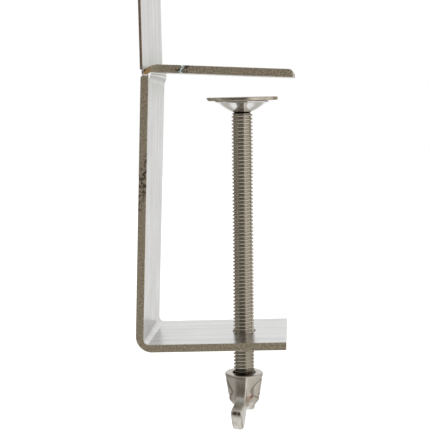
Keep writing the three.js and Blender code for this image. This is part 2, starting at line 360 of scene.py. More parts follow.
def paint_edge(tree):
    """Raw sheared edge: mottled brown-grey, heat colours and painted crevice shadow on the nose, a nick on
    the jaw.
    """
    light, dark = (0.62, 0.545, 0.42, 1), (0.27, 0.23, 0.17, 1)
    straw, gold, crevice_shadow = (0.62, 0.54, 0.4, 1), (0.62, 0.38, 0.15, 1), (0.07, 0.035, 0.02, 1)
    black_dirt, pale_chip = (0.05, 0.045, 0.04, 1), (0.55, 0.66, 0.65, 1)
    place = millimetres(tree)
    x = axis_of(tree, place, 0)
    z = axis_of(tree, place, 2)
    colour, fine = mottled_edge(tree, place, light, dark)
    from_crease = distance_along_y(tree, place, *NOSE_CREASE)
    on_jaw = fade(tree, z, NOSE_UNDER_Z - 0.07, NOSE_UNDER_Z)
    for reach, core, strength, heat in (
        (5.0, 2.0, 0.65, straw),
        (2.2, 0.9, 0.8, gold),
        # Not heat: painted shadow of the crevice between the hook's foot and the nose.
        (0.75, 0.3, 0.85, crevice_shadow),
    ):
        zone = times(tree, fade(tree, from_crease, reach, core), on_jaw)
        colour = cover(tree, colour, zone, strength, heat)
    chip, dirt = nick_masks(tree, place, x, z)
    colour = cover(tree, colour, dirt, 0.85, black_dirt)
    return {
        "Base Color": blend(tree, chip, colour, pale_chip),
        "Metallic": on_line(tree, chip, -0.7, 0.85),
        "Roughness": on_line(tree, fine, 0.25, 0.28),
        "Normal": bump(tree, fine, 0.05, 0.6),
    }


def paint_hook_edge(tree):
    """The hook strip's darker sheared edge."""
    light, dark = (0.4, 0.3, 0.225, 1), (0.17, 0.125, 0.09, 1)
    colour, fine = mottled_edge(tree, millimetres(tree), light, dark)
    return {
        "Base Color": colour,
        "Metallic": 0.85,
        "Roughness": on_line(tree, fine, 0.2, 0.3),
        "Normal": bump(tree, fine, 0.03, 0.5),
    }


def paint_thread(tree):
    """Rolled thread: bright crests, browner grooves, painted gap shadow at its top, oil and painted shadow
    above the nut.
    """
    crests = (0.72, 0.695, 0.65, 1), (0.66, 0.635, 0.585, 1)
    grooves = (0.6, 0.56, 0.49, 1), (0.53, 0.5, 0.43, 1)
    shadow_and_oil, gap_shadow = (0.06, 0.042, 0.028, 1), (0.02, 0.015, 0.012, 1)
    place = millimetres(tree)
    z = axis_of(tree, place, 2)
    cloud = even_noise(tree, place, 0.25)
    groove = fade(tree, radius_of(tree, place), THREAD_RADIUS - 0.04, THREAD_RADIUS - 0.4)
    crest_colour = blend(tree, cloud, *crests)
    groove_colour = blend(tree, cloud, *grooves)
    colour = blend(tree, groove, crest_colour, groove_colour)
    # Dark band just above the nut: oil, with painted shadow where the rod leaves the nut.
    colour = cover(tree, colour, fade(tree, z, nut_high.z + 1.9, nut_high.z + 0.6), 0.8, shadow_and_oil)
    # Painted shadow of the gap under the cup, as a black band at the top of the thread.
    ring = fade(tree, z, THREAD_TOP_Z - 0.12, THREAD_TOP_Z)
    return {
        "Base Color": blend(tree, ring, colour, gap_shadow),
        "Roughness": on_line(tree, groove, 0.1, 0.13),
        "Specular Tint": GRAZING_TINT,
    }


def paint_polished(tree):
    """Polished cup with turning marks and a few dull patches."""
    bright, dull = (0.76, 0.76, 0.755, 1), (0.72, 0.72, 0.715, 1)
    place = millimetres(tree)
    patches = even_noise(tree, place, 0.5, detail=3.0)
    inputs = {0: radius_of(tree, place), 2: axis_of(tree, place, 2)}
    turning = stretched_noise(tree, node(tree, "CombineXYZ", inputs).outputs[0], (9, 1, 9))
    return {
        "Base Color": blend(tree, fade(tree, patches, 0.4, 0.7), bright, dull),
        "Roughness": on_line(tree, patches, 0.1, 0.05),
        "Normal": bump(tree, turning, 0.004, 0.4),
    }


def paint_pad(tree):
    """Pad plate: a worn brownish rim, and concentric turning marks on its faces."""
    faces = (0.62, 0.6, 0.57, 1), (0.52, 0.5, 0.46, 1)
    rims = (0.66, 0.6, 0.52, 1), (0.5, 0.45, 0.38, 1)
    place = millimetres(tree)
    radius = radius_of(tree, place)
    dirt = stretched_noise(tree, place, (0.4, 0.4, 1.2), detail=3.0, roughness=0.6)
    clean = blend(tree, fade(tree, dirt, 0.4, 0.7), *faces)
    worn = blend(tree, fade(tree, dirt, 0.35, 0.65), *rims)
    on_rim = fade(tree, radius, disc_high.x - 0.5, disc_high.x - 0.1)
    turning = stretched_noise(tree, node(tree, "CombineXYZ", {0: radius}).outputs[0], (5, 1, 1))
    return {
        "Base Color": blend(tree, on_rim, clean, worn),
        "Roughness": on_line(tree, dirt, 0.15, 0.17),
        "Specular Tint": GRAZING_TINT,
        "Normal": bump(tree, turning, 0.006, 0.5),
    }


def ragged_spots(tree, place, ragged, spots):
    """Mask of round spots with ragged rims."""
    mask = None
    for point, size in spots:
        away = plus(tree, measure(tree, "DISTANCE", place, point), times(tree, ragged, 0.9))
        spot = fade(tree, away, size + 0.65, size + 0.25)
        mask = spot if mask is None else calculate(tree, "MAXIMUM", mask, spot)
    return mask


def beside_oval(tree, place, z):
    """Distance to either side of the middle of the oval groove."""
    along_wings = measure(tree, "DOT_PRODUCT", place, (cos(NUT_TURN), sin(NUT_TURN), 0))
    across = calculate(tree, "DIVIDE", along_wings, OVAL_HALF_WIDTH)
    up = calculate(tree, "DIVIDE", minus(tree, z, OVAL_Z), OVAL_HALF_HEIGHT)
    squares = plus(tree, times(tree, across, across), times(tree, up, up))
    beside = calculate(tree, "ABSOLUTE", minus(tree, calculate(tree, "SQRT", squares), 1.0))
    return times(tree, beside, OVAL_HALF_HEIGHT)


def paint_cast(tree):
    """Cast nut: mottling, pits, rust, painted dark reflections on a wing tip, darker oval groove, painted
    shadow round the rod.
    """
    pale, dull, pitted = (0.72, 0.695, 0.655, 1), (0.58, 0.55, 0.5, 1), (0.4, 0.36, 0.3, 1)
    stained, rusty, dark_reflection = (0.3, 0.15, 0.08, 1), (0.2, 0.06, 0.03, 1), (0.1, 0.09, 0.085, 1)
    groove_darkening, top_film, shadow_and_oil = (0.2, 0.165, 0.125, 1), (0.44, 0.41, 0.36, 1), (0.045, 0.033, 0.024, 1)
    place = millimetres(tree)
    z = axis_of(tree, place, 2)
    cloud = stretched_noise(tree, place, (0.55, 0.55, 0.35), detail=4.0, roughness=0.6)
    pits = even_noise(tree, place, 2.2, detail=3.0, roughness=0.6)
    rust = ragged_spots(tree, place, pits, RUST_SPOTS)
    groove_rim = GROOVE_HALF_WIDTH + 0.15
    groove = fade(tree, beside_oval(tree, place, z), groove_rim, groove_rim - 0.25)
    beside_rod = fade(tree, radius_of(tree, place), THREAD_RADIUS + 0.65, THREAD_RADIUS + 0.2)
    top = fade(tree, z, nut_high.z - 1.0, nut_high.z - 0.4)
    colour = blend(tree, fade(tree, cloud, 0.35, 0.7), pale, dull)
    for mask, strength, paint in (
        (fade(tree, pits, 0.42, 0.62), 0.3, pitted),
        (ragged_spots(tree, place, pits, [RUST_STAIN]), 0.55, stained),
        (rust, 0.9, rusty),
        # Painted dark reflections on the wing tip.
        (ragged_spots(tree, place, pits, REFLECTION_SPOTS), 0.75, dark_reflection),
        # Darker colour in the oval groove.
        (groove, 0.65, groove_darkening),
        (top, 0.4, top_film),
        # Painted shadow in the gap round the rod, on the nut's top.
        (times(tree, beside_rod, top), 0.92, shadow_and_oil),
    ):
        colour = cover(tree, colour, mask, strength, paint)
    return {
        "Base Color": colour,
        "Roughness": plus(tree, on_line(tree, cloud, 0.2, 0.2), times(tree, rust, 0.4)),
        "Metallic": on_line(tree, rust, -0.6, 1.0),
        "Normal": bump(tree, pits, 0.09, 0.6),
    }


def paint_weld(tree):
    """Weld bead: grey-green above a painted highlight along its slanting ridge, and dull grey below it, into
    the brushed face.
    """
    stops = [
        (0.0, (0.68, 0.68, 0.67)),
        (0.3, (0.45, 0.45, 0.43)),
        (0.62, (0.5, 0.51, 0.48)),
        # Painted highlight along the bead's crest.
        (0.72, (0.9, 0.9, 0.88)),
        (0.78, (0.88, 0.88, 0.86)),
        (0.88, (0.6, 0.62, 0.57)),
        (1.0, (0.5, 0.52, 0.46)),
    ]
    place = millimetres(tree)
    cloud = stretched_noise(tree, place, (0.6, 0.2, 0.6))
    sway = times(tree, minus(tree, cloud, 0.5), 0.5)
    over_ridge = on_line(tree, axis_of(tree, place, 1), WELD_RIDGE_SLANT, -WELD_RIDGE_Z)
    over_ridge = plus(tree, plus(tree, over_ridge, axis_of(tree, place, 2)), sway)
    share = fade(tree, over_ridge, -1.8, 1.0)
    return {"Base Color": colour_ramp(tree, share, stops), "Roughness": on_line(tree, cloud, 0.1, 0.3)}


def paint_seam(tree):
    """Fused seam of whitish slag, near-white partly as a painted highlight, a little rough, with grey
    specks.
    """
    # The near-white stands partly for the highlight on the crescent seam.
    pale, grey = (0.96, 0.95, 0.92, 1), (0.6, 0.57, 0.52, 1)
    specks = even_noise(tree, millimetres(tree), 1.6, detail=3.0)
    colour = blend(tree, fade(tree, specks, 0.5, 0.75), pale, grey)
    return {"Base Color": colour, "Metallic": 0.25, "Roughness": 0.35}


def paint_bead(tree):
    """The outer bead: dull grey with a lilac heat colour."""
    lilac, grey = (0.62, 0.62, 0.7, 1), (0.45, 0.44, 0.48, 1)
    cloud = stretched_noise(tree, millimetres(tree), (0.9, 0.5, 0.9))
    return {"Base Color": blend(tree, cloud, lilac, grey), "Metallic": 0.7, "Roughness": 0.35}


BRUSHED = make_material("brushed_face", paint_brushed)
RAW_EDGE = make_material("raw_edge", paint_edge)
HOOK_EDGE = make_material("hook_edge", paint_hook_edge)
THREAD_STEEL = make_material("thread_steel", paint_thread)
POLISHED = make_material("polished_cup", paint_polished)
PAD_STEEL = make_material("pad_plate", paint_pad)
CAST_STEEL = make_material("cast_steel", paint_cast)
WELD_STEEL = make_material("weld_steel", paint_weld)
SEAM_SHEEN = make_material("seam_sheen", paint_seam)
HEATED_BEAD = make_material("heated_bead", paint_bead)


# ---- Mesh helpers ----

# A length too short to see that keeps neighbouring points apart, and the least a strip's corner is rounded.
HAIR = 0.001
LEAST_ROUND = 0.004


def add_object(name, data):
    made = bpy.data.objects.new(name, data)
    bpy.context.scene.collection.objects.link(made)
    return made


def add_mesh(name, shape, materials):
    """Adds a bmesh to the scene, and uses it up."""
    mesh = bpy.data.meshes.new(name)
    shape.to_mesh(mesh)
    shape.free()
    for material in materials:
        mesh.materials.append(material)
    return add_object(name, mesh)


def add_solid(name, shape, materials):
    """Adds a closed bmesh in millimetres to the scene, and uses it up."""
    bmesh.ops.recalc_face_normals(shape, faces=shape.faces)
    bmesh.ops.scale(shape, vec=(MM, MM, MM), verts=shape.verts)
    return add_mesh(name, shape, materials)


def cut_out(piece, cutter_shape):
    """Cuts a shape out of a piece. The cut surface is a raw edge."""
    cutter = add_solid("cutter", cutter_shape, [RAW_EDGE])
    cut = piece.modifiers.new("cut", "BOOLEAN")
    cut.operation = "DIFFERENCE"
    cut.solver = "EXACT"
    cut.object = cutter
    bpy.context.view_layer.update()
    graph = bpy.context.evaluated_depsgraph_get()
    piece.data = bpy.data.meshes.new_from_object(piece.evaluated_get(graph))
    piece.modifiers.remove(cut)
    bpy.data.objects.remove(cutter)


def finish_piece(name, shape, materials, body, stands_for=None, sharp=40, cutter=None):
    """Turns a bmesh in millimetres into a piece on a CAD body. Angles past sharp, in degrees, stay sharp."""
    piece = add_solid(name, shape, materials)
    if cutter:
        cut_out(piece, cutter)
    piece.data.shade_smooth()
    piece.data.set_sharp_from_angle(angle=radians(sharp))
    weighted = piece.modifiers.new("weighted_normals", "WEIGHTED_NORMAL")
    weighted.keep_sharp = True
    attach(piece, body)
    if stands_for:
        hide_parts(stands_for)


def skin(shape, row, after, closed=True):
    """The faces between two rows of vertices, which are rings if closed."""
    count = len(row)
    faces = []
    for k in range(count if closed else count - 1):
        beside = (k + 1) % count
        faces.append(shape.faces.new((row[k], row[beside], after[beside], after[k])))
    return faces


def flat(point):
    """A point (x, z) of the XZ plane as a 3-D vector."""
    return Vector((point[0], 0.0, point[1]))


def strip_ring(inner, outer, half_width, edge_round, shrink):
    """Rounded rectangle across a strip between two points on its faces, drawn in on all sides by shrink."""
    through = outer - inner
    thickness = through.length
    through.normalize()
    depth = max(min(edge_round, thickness / 2 - HAIR) - shrink, LEAST_ROUND)
    near, far = shrink + depth, thickness - shrink - depth
    side = half_width - shrink - depth
    ring = []
    for t, y, start in ((near, side, 180), (far, side, 90), (far, -side, 0), (near, -side, -90)):
        for step in range(4):
            angle = radians(start - 30 * step)
            point = inner + through * (t + depth * cos(angle))
            point.y = y + depth * sin(angle)
            ring.append(point)
    return ring


# The surface on each of the ring's 16 sides: corner, narrow edge, corner, broad face, and all of it again.
RING_KINDS = ([EDGE] * 7 + [FACE]) * 2


def rounded_ends(pairs, radius):
    """Adds a shrink to each pair of points, and rounds both ends off with extra pairs that shrink."""
    stations = [(flat(inner), flat(outer), 0.0) for inner, outer in pairs]
    for end, beside in ((0, 1), (-1, -2)):
        inner, outer, _ = stations[end]
        outward = (inner + outer - stations[beside][0] - stations[beside][1]).normalized()
        stations.pop(end)
        cap = []
        for angle in (0, 30, 60, 90):
            move = outward * radius * (sin(radians(angle)) - 1)
            cap.append((inner + move, outer + move, radius * (1 - cos(radians(angle)))))
        stations = cap[::-1] + stations if end == 0 else stations + cap
    return stations


def strip(pairs, half_width=HALF_WIDTH, edge_round=EDGE_ROUND, end_round=EDGE_ROUND, change=None):
    """A strip lofted through pairs of points on its two faces, as a bmesh with a map in millimetres.

    half_width is a number, or a function of the distance left to the strip's last end.
    change(point, distance) may move a point of the finished rings, distance along the strip."""
    stations = rounded_ends(pairs, end_round)
    centres = [(inner + outer) / 2 for inner, outer, _ in stations]
    along = [0.0]
    for before, after in zip(centres, centres[1:]):
        along.append(along[-1] + (after - before).length)
    rings = []
    for (inner, outer, shrink), distance in zip(stations, along):
        width = half_width(along[-1] - distance) if callable(half_width) else half_width
        rings.append(strip_ring(inner, outer, width, edge_round, shrink))
    if change:
        rings = [[change(point, distance) for point in ring] for ring, distance in zip(rings, along)]
    around = [0.0]
    middle = rings[len(rings) // 2]
    for here, there in zip(middle, middle[1:] + middle[:1]):
        around.append(around[-1] + (there - here).length)

    shape = bmesh.new()
    uv = shape.loops.layers.uv.new(STRIP_UV)
    rows = [[shape.verts.new(point) for point in ring] for ring in rings]
    for i, (row, after) in enumerate(zip(rows, rows[1:])):
        for k, face in enumerate(skin(shape, row, after)):
            face.material_index = RING_KINDS[k]
            places = ((i, k), (i, k + 1), (i + 1, k + 1), (i + 1, k))
            for loop, (a, b) in zip(face.loops, places):
                loop[uv].uv = (along[a], around[b])
    for row, distance in ((rows[0], 0.0), (rows[-1], along[-1])):
        face = shape.faces.new(row)
        face.material_index = EDGE
        for loop in face.loops:
            loop[uv].uv = (distance + loop.vert.co.y, loop.vert.co.z)
    return shape


def meeting(a, along_a, b, along_b):
    """Where the line through a meets the line through b."""
    cross = along_a[0] * along_b[1] - along_a[1] * along_b[0]
    t = ((b[0] - a[0]) * along_b[1] - (b[1] - a[1]) * along_b[0]) / cross
    return a[0] + t * along_a[0], a[1] + t * along_a[1]


def turned(profile, segments, closed=True, change=None):
    """(radius, z) points turned about the Z axis, as a bmesh. Their last joins their first if closed.

    change(point, angle) may move a point."""
    shape = bmesh.new()
    rows = []
    for step in range(segments):
        angle = 2 * pi * step / segments
        row = []
        for radius, z in profile:
            point = Vector((radius * cos(angle), radius * sin(angle), z))
            row.append(shape.verts.new(change(point, angle) if change else point))
        rows.append(row)
    for row, after in zip(rows, rows[1:] + rows[:1]):
        skin(shape, row, after, closed)
    return shape


def arc_points(centre, radius, start, end, steps):
    """Points along an arc in a plane, with angles in degrees."""
    points = []
    for step in range(steps + 1):
        angle = radians(start + (end - start) * step / steps)
        points.append((centre[0] + radius * cos(angle), centre[1] + radius * sin(angle)))
    return points


# ---- Clamp strips ----


def back_inner(z):
    return BACK_FACE_X + BACK_SLOPE * z, z


def back_outer(z):
    return back_inner(z)[0] - STRIP_THICKNESS * sqrt(1 + BACK_SLOPE**2), z


def arm_top(x):
    return x, ARM_FACE_Z + ARM_SLOPE * x


def arm_under(x):
    return x, arm_top(x)[1] - STRIP_THICKNESS * sqrt(1 + ARM_SLOPE**2)


def bend_pairs():
    """Pairs of points round the bend between the back and the lower arm."""
    down = Vector((-BACK_SLOPE, -1)).normalized()
    out = Vector((1, ARM_SLOPE)).normalized()
    turn = pi - acos(-down.dot(out))
    reach = tan(turn / 2)
    arcs = []
    for corner, radius in (
        (meeting(back_inner(0), down, arm_top(0), out), BEND_INNER_RADIUS),
        (meeting(back_outer(0), down, arm_under(0), out), BEND_OUTER_RADIUS),
    ):
        start = Vector(corner) - down * radius * reach
        centre = start + Vector((-down.y, down.x)) * radius
        first = atan2(start.y - centre.y, start.x - centre.x)
        arcs.append(arc_points(centre, radius, degrees(first), degrees(first + turn), 14))
    return list(zip(*arcs))


def back_pairs():
    """From the top of the back, down it, round the bend and out along the lower arm."""
    pairs = []
    for angle in (90, 115, 140, 160, 180):
        turn = radians(angle)
        top = BACK_TOP_Z - BACK_TOP_ROUND * (1 - sin(turn))
        inner_top = BACK_TOP_Z - BACK_TOP_INNER_ROUND * (1 - sin(turn))
        outer = (back_outer(top)[0] + BACK_TOP_ROUND * (1 + cos(turn)), top)
        pairs.append((back_inner(inner_top), outer))
    bend = bend_pairs()
    low = bend[0][0][1]
    for z in (-2, -4, -8, -20, -32, -44, -56, -62, low + 2.5, low + 0.8):
        pairs.append((back_inner(z), back_outer(z)))
    pairs += bend
    near = bend[-1][0][0]
    for x in (near + 0.8, near + 2.5, -12, -6, 0, 6, ARM_END_X - 1, ARM_END_X):
        pairs.append((arm_top(x), arm_under(x)))
    return pairs


def build_back():
    def skew_end(point, _):
        """The arm's end is cut slightly out of square."""
        share = max(0.0, (point.x - (ARM_END_X - ARM_SKEW_LENGTH)) / ARM_SKEW_LENGTH)
        point.x -= ARM_END_SKEW * share * (point.y + HALF_WIDTH) / (2 * HALF_WIDTH)
        return point

    top = arm_top(0)[1]
    under = arm_under(0)[1]
    clear = 1
    wide = HOLE_RADIUS + HOLE_CHAMFER + clear
    outline = [
        (HAIR, under - clear),
        (wide, under - clear),
        (wide, under - HOLE_CHAMFER),
        (HOLE_RADIUS, under + HOLE_CHAMFER),
        (HOLE_RADIUS, top - HOLE_CHAMFER),
        (wide, top + clear),
        (HAIR, top + clear),
    ]
    shape = strip(back_pairs(), change=skew_end)
    hole = turned(outline, 96)
    looks = (BRUSHED, RAW_EDGE)
    finish_piece("back_strip", shape, looks, "frame", "back_bracket", cutter=hole)


def on_jaw(x):
    """The points on the jaw's top and underside at x."""
    under = JAW_SLOPE * x
    return (x, under + STRIP_THICKNESS * sqrt(1 + JAW_SLOPE**2)), (x, under)


def build_jaw():
    """From the nose, along the jaw to its end with the rounded upper corner."""
    pairs = list(NOSE_PAIRS)
    for x in (NOSE_END_X, -20, -16, -10, -4, 2, 8, JAW_END_X - 2.2):
        pairs.append(on_jaw(x))
    for angle in (90, 72, 54, 36, 18, 4):
        turn = radians(angle)
        x = JAW_END_X - JAW_END_ROUND * (1 - cos(turn))
        top, under = on_jaw(x)
        pairs.append(((x, top[1] - JAW_END_ROUND * (1 - sin(turn))), under))
    shape = strip(pairs, end_round=0.1)
    finish_piece("jaw_strip", shape, (BRUSHED, RAW_EDGE), "frame", "jaw_arm", 30)


# ---- Hook strip ----


def centre_line():
    """The hook's centre line from its foot to its lip, as points with their headings."""
    heading = pi / 2 + HOOK_LEAN
    place = Vector(HOOK_FOOT)
    line = [(place.copy(), heading)]

    def run(length, steps):
        nonlocal place
        for _ in range(steps):
            place = place + Vector((cos(heading), sin(heading))) * length / steps
            line.append((place.copy(), heading))

    def bend(radius, turn, steps):
        nonlocal place, heading
        side = 1 if turn > 0 else -1
        centre = place + Vector((-sin(heading), cos(heading))) * radius * side
        start = place - centre
        for step in range(1, steps + 1):
            angle = turn * step / steps
            line.append((centre + Matrix.Rotation(angle, 2) @ start, heading + angle))
        place = line[-1][0].copy()
        heading += turn

    run(HOOK_RISE, 9)
    bend(CRADLE_BEND_RADIUS, pi + CRADLE_DIP - heading, 20)
    bend(CRADLE_RADIUS, -(CRADLE_DIP + CRADLE_CLIMB), 24)
    bend(LIP_BEND_RADIUS, -(pi / 2 - CRADLE_CLIMB - LIP_LEAN), 12)
    run(LIP_LENGTH, 8)
    return line


def lip_width(left):
    """Half the hook's width, less where the lip's corners are rounded. left is the distance to its end."""
    if left >= LIP_CORNER_RADIUS:
        return HALF_WIDTH
    gone = LIP_CORNER_RADIUS - left
    return HALF_WIDTH - LIP_CORNER_RADIUS + sqrt(max(LIP_CORNER_RADIUS**2 - gone**2, 0.0))


def foot_slant(point, distance):
    """The hook's foot is cut at a slant, lowest at the front."""
    share = max(0.0, 1 - distance / FOOT_SLANT_LENGTH)
    point.z -= FOOT_SLANT * share * (HALF_WIDTH - point.y) / (2 * HALF_WIDTH)
    return point


def build_hook():
    pairs = []
    for place, heading in centre_line():
        aside = Vector((-sin(heading), cos(heading))) * HOOK_THICKNESS / 2
        pairs.append((tuple(place - aside), tuple(place + aside)))
    shape = strip(pairs, half_width=lip_width, edge_round=0.1, end_round=0.1, change=foot_slant)
    pivot = Matrix.Translation((HOOK_FOOT[0], 0, 0))
    twist = pivot @ Matrix.Rotation(HOOK_TWIST, 4, "Z") @ pivot.inverted()
    bmesh.ops.transform(shape, matrix=twist, verts=shape.verts)
    finish_piece("formed_hook", shape, (BRUSHED, HOOK_EDGE), "frame", "hook_strip", 30)


# ---- Welds ----

# How far the inner bead stands off the back, and the part of its height at which it is fullest.
WELD_GAP = 0.012
WELD_CREST = 0.78

# The outer bead's front face, and its rear face as distances forward from its rearmost line, each with z.
OUTER_WELD_FRONT = [(-24.5, 0.36), (-24.92, 1.0), (-24.78, 1.62), (-24.8, 2.0)]
OUTER_WELD_REAR = [(0.12, 2.05), (0.02, 1.7), (0.0, 1.3), (0.02, 0.9), (0.12, 0.5), (0.3, 0.3)]
OUTER_WELD_REAR_X = -25.12

# The fused seam under the nose: pairs of a point on its upper side and a point on its lower side.
SEAM_PAIRS = [
    ((-24.6, 0.78), (-24.64, 0.7)),
    ((-24.48, 0.66), (-24.55, 0.54)),
    ((-24.2, 0.46), (-24.26, 0.31)),
    ((-23.82, 0.4), (-23.82, 0.23)),
    ((-23.5, 0.54), (-23.42, 0.36)),
    ((-23.2, 0.78), (-23.09, 0.6)),
    ((-22.85, 1.02), (-22.76, 0.86)),
    ((-22.6, 1.1), (-22.52, 1.02)),
]


def bead(outline, half_length, steps):
    """A weld bead along Y. outline(y) gives its closed cross-section. Its ends take the second material."""
    shape = bmesh.new()
    rows = []
    for step in range(steps + 1):
        y = half_length * (2 * step / steps - 1)
        rows.append([shape.verts.new((x, y, z)) for x, z in outline(y)])
    for row, after in zip(rows, rows[1:]):
        skin(shape, row, after)
    for row in (rows[0], rows[-1]):
        shape.faces.new(row).material_index = 1
    return shape


def inner_weld_outline(y):
    """Fillet under the jaw: it reaches further down the back at the rear, and its face is rippled."""
    share = (y + HALF_WIDTH) / (2 * HALF_WIDTH)
    foot, top = -1.3 - 1.15 * share, 1.04
    swell = 0.6 - 0.08 * share
    steps = 14
    face = []
    for step in range(steps + 1):
        u = step / steps
        z = foot + (top - foot) * u
        lift = sin(pi / 2 * min(u / WELD_CREST, 1.0)) ** 2.2
        lift -= 0.16 * max(0.0, (u - WELD_CREST) / (1 - WELD_CREST))
        ripple = 0.012 * sin(2 * pi * y / 1.05 + 5.0 * (u - 0.5) ** 2)
        wander = 0.07 * noise.noise(Vector((y * 0.28, u * 1.5, 3.1)))
        face.append((back_inner(z)[0] + 0.015 + swell * lift + (ripple + wander) * sin(pi * u), z))
    lower = (back_inner(foot)[0] + WELD_GAP, foot + 0.01)
    upper = (back_inner(top)[0] + WELD_GAP, top - 0.3)
    return [lower] + face + [upper]


def outer_weld_outline(y):
    """Low bead behind the nose, between the back's top and the hook's foot."""
    ripple = 0.03 * sin(2 * pi * y / 1.2) + 0.05 * noise.noise(Vector((y * 0.35, 7.7, 0.4)))
    return OUTER_WELD_FRONT + [(OUTER_WELD_REAR_X + ripple + x, z) for x, z in OUTER_WELD_REAR]


def build_welds():
    inner = bead(inner_weld_outline, HALF_WIDTH - 0.03, 150)
    # The bead's ends take the seam's near-white, partly a painted highlight.
    looks = (WELD_STEEL, SEAM_SHEEN)
    finish_piece("inner_weld_bead", inner, looks, "frame", "inner_weld", 60)
    outer = bead(outer_weld_outline, HALF_WIDTH - 0.35, 110)
    looks = (HEATED_BEAD, HEATED_BEAD)
    finish_piece("outer_weld_bead", outer, looks, "frame", "outer_weld", 60)
    seam = strip(SEAM_PAIRS, half_width=HALF_WIDTH - 0.02, edge_round=0.13, end_round=0.05)
    finish_piece("seam_weld", seam, (SEAM_SHEEN, SEAM_SHEEN), "frame", sharp=60)


# ---- Clamp screw, cup and pad ----


def thread_rows(start_z, turns):
    """Vertices of the helical sheet. Each row runs up one pitch, and the rows follow the turning."""
    shape = bmesh.new()
    rows = []
    for step in range((turns + 1) * STEPS_PER_TURN + 1):
        angle = 2 * pi * step / STEPS_PER_TURN + THREAD_PHASE
        row = []
        for k in range(POINTS_PER_PITCH):
            z = start_z + PITCH * (step / STEPS_PER_TURN + k / POINTS_PER_PITCH)
            radius = THREAD_RADIUS - THREAD_DEPTH * sin(pi * k / POINTS_PER_PITCH) ** CREST_SHARPNESS
            run_out = NECK_RADIUS + THREAD_TOP_SLOPE * max(THREAD_TOP_Z - z, 0)
            lead_in = THREAD_RADIUS - THREAD_END_CHAMFER + THREAD_END_SLOPE * max(z - screw_low.z, 0)
            radius = min(radius, run_out, lead_in)
            row.append(shape.verts.new((radius * cos(angle), radius * sin(angle), z)))
        rows.append(row)
    return shape, rows


def build_screw():
    """The thread is one helical sheet. It is cut flat at both ends and carried on to the peened head."""
    end_z = screw_low.z
    shape, rows = thread_rows(end_z - PITCH, int(ceil((THREAD_TOP_Z - end_z) / PITCH)) + 2)
    for step in range(len(rows) - 1 - STEPS_PER_TURN):
        here = rows[step] + rows[step + STEPS_PER_TURN][:1]
        there = rows[step + 1] + rows[step + 1 + STEPS_PER_TURN][:1]
        skin(shape, here, there, closed=False)
    for z, normal in ((end_z, (0, 0, -1)), (THREAD_TOP_Z, (0, 0, 1))):
        everything = shape.verts[:] + shape.edges[:] + shape.faces[:]
        bmesh.ops.bisect_plane(shape, geom=everything, plane_co=(0, 0, z), plane_no=normal, clear_outer=True)
    loose = [vertex for vertex in shape.verts if not vertex.link_faces]
    bmesh.ops.delete(shape, geom=loose, context="VERTS")
    bmesh.ops.remove_doubles(shape, verts=shape.verts, dist=HAIR / 2)

    open_edges = [edge for edge in shape.edges if edge.is_boundary]
    lower = [edge for edge in open_edges if edge.verts[0].co.z < (end_z + THREAD_TOP_Z) / 2]
    loop = [edge for edge in open_edges if edge not in lower]
    bmesh.ops.contextual_create(shape, geom=lower)
    for radius, z in ROD_TOP:
        made = bmesh.ops.extrude_edge_only(shape, edges=loop)["geom"]
        for vertex in (item for item in made if isinstance(item, bmesh.types.BMVert)):
            angle = atan2(vertex.co.y, vertex.co.x)
            vertex.co = (radius * cos(angle), radius * sin(angle), z)
        loop = [item for item in made if isinstance(item, bmesh.types.BMEdge)]
    bmesh.ops.contextual_create(shape, geom=loop)
    finish_piece("threaded_rod", shape, (THREAD_STEEL,), "screw", "clamp_screw", 50)


# The cup's outside and the edge of its hole as (radius, z), and how far the inside lies in and up from it.
CUP_OUTSIDE = [(5.6, -8.08), (4.6, -8.76), (3.6, -9.28), (3.1, -9.52), (2.7, -9.7)]
CUP_HOLE = [(2.5, -9.74), (2.35, -9.66), (2.35, -9.15)]
CUP_WALL_IN, CUP_WALL_UP = 0.33, 0.6
CUP_MOUTH_WALL = 0.8
CUP_LIP_DEPTH = 0.34
CUP_LIP_ROUND, CUP_LIP_UNDER_ROUND = 0.1, 0.06

PAD_TOP_ROUND, PAD_UNDER_ROUND = 0.12, 0.2
PAD_TILT = radians(0.6)
PAD_UNDERCUT = 0.42
PAD_RIM_WEAR = 0.03


def build_cup():
    top, rim = cup_high.z, cup_high.x
    over, beneath = CUP_LIP_ROUND, CUP_LIP_UNDER_ROUND
    profile = [(rim - 2 * over, top)]
    profile += arc_points((rim - over, top - over), over, 90, 0, 3)
    profile += arc_points((rim - beneath, top - CUP_LIP_DEPTH), beneath, 0, -90, 3)
    profile += [(rim - 0.22, top - 0.44), (rim - 0.5, top - 0.58)]
    profile += CUP_OUTSIDE + CUP_HOLE
    profile += [(radius - CUP_WALL_IN, z + CUP_WALL_UP) for radius, z in reversed(CUP_OUTSIDE)]
    profile += [(rim - CUP_MOUTH_WALL, top - 0.1), (rim - CUP_MOUTH_WALL, top)]
    finish_piece("swivel_cup", turned(profile, 160), (POLISHED,), "pad", "pad_cup", 35)


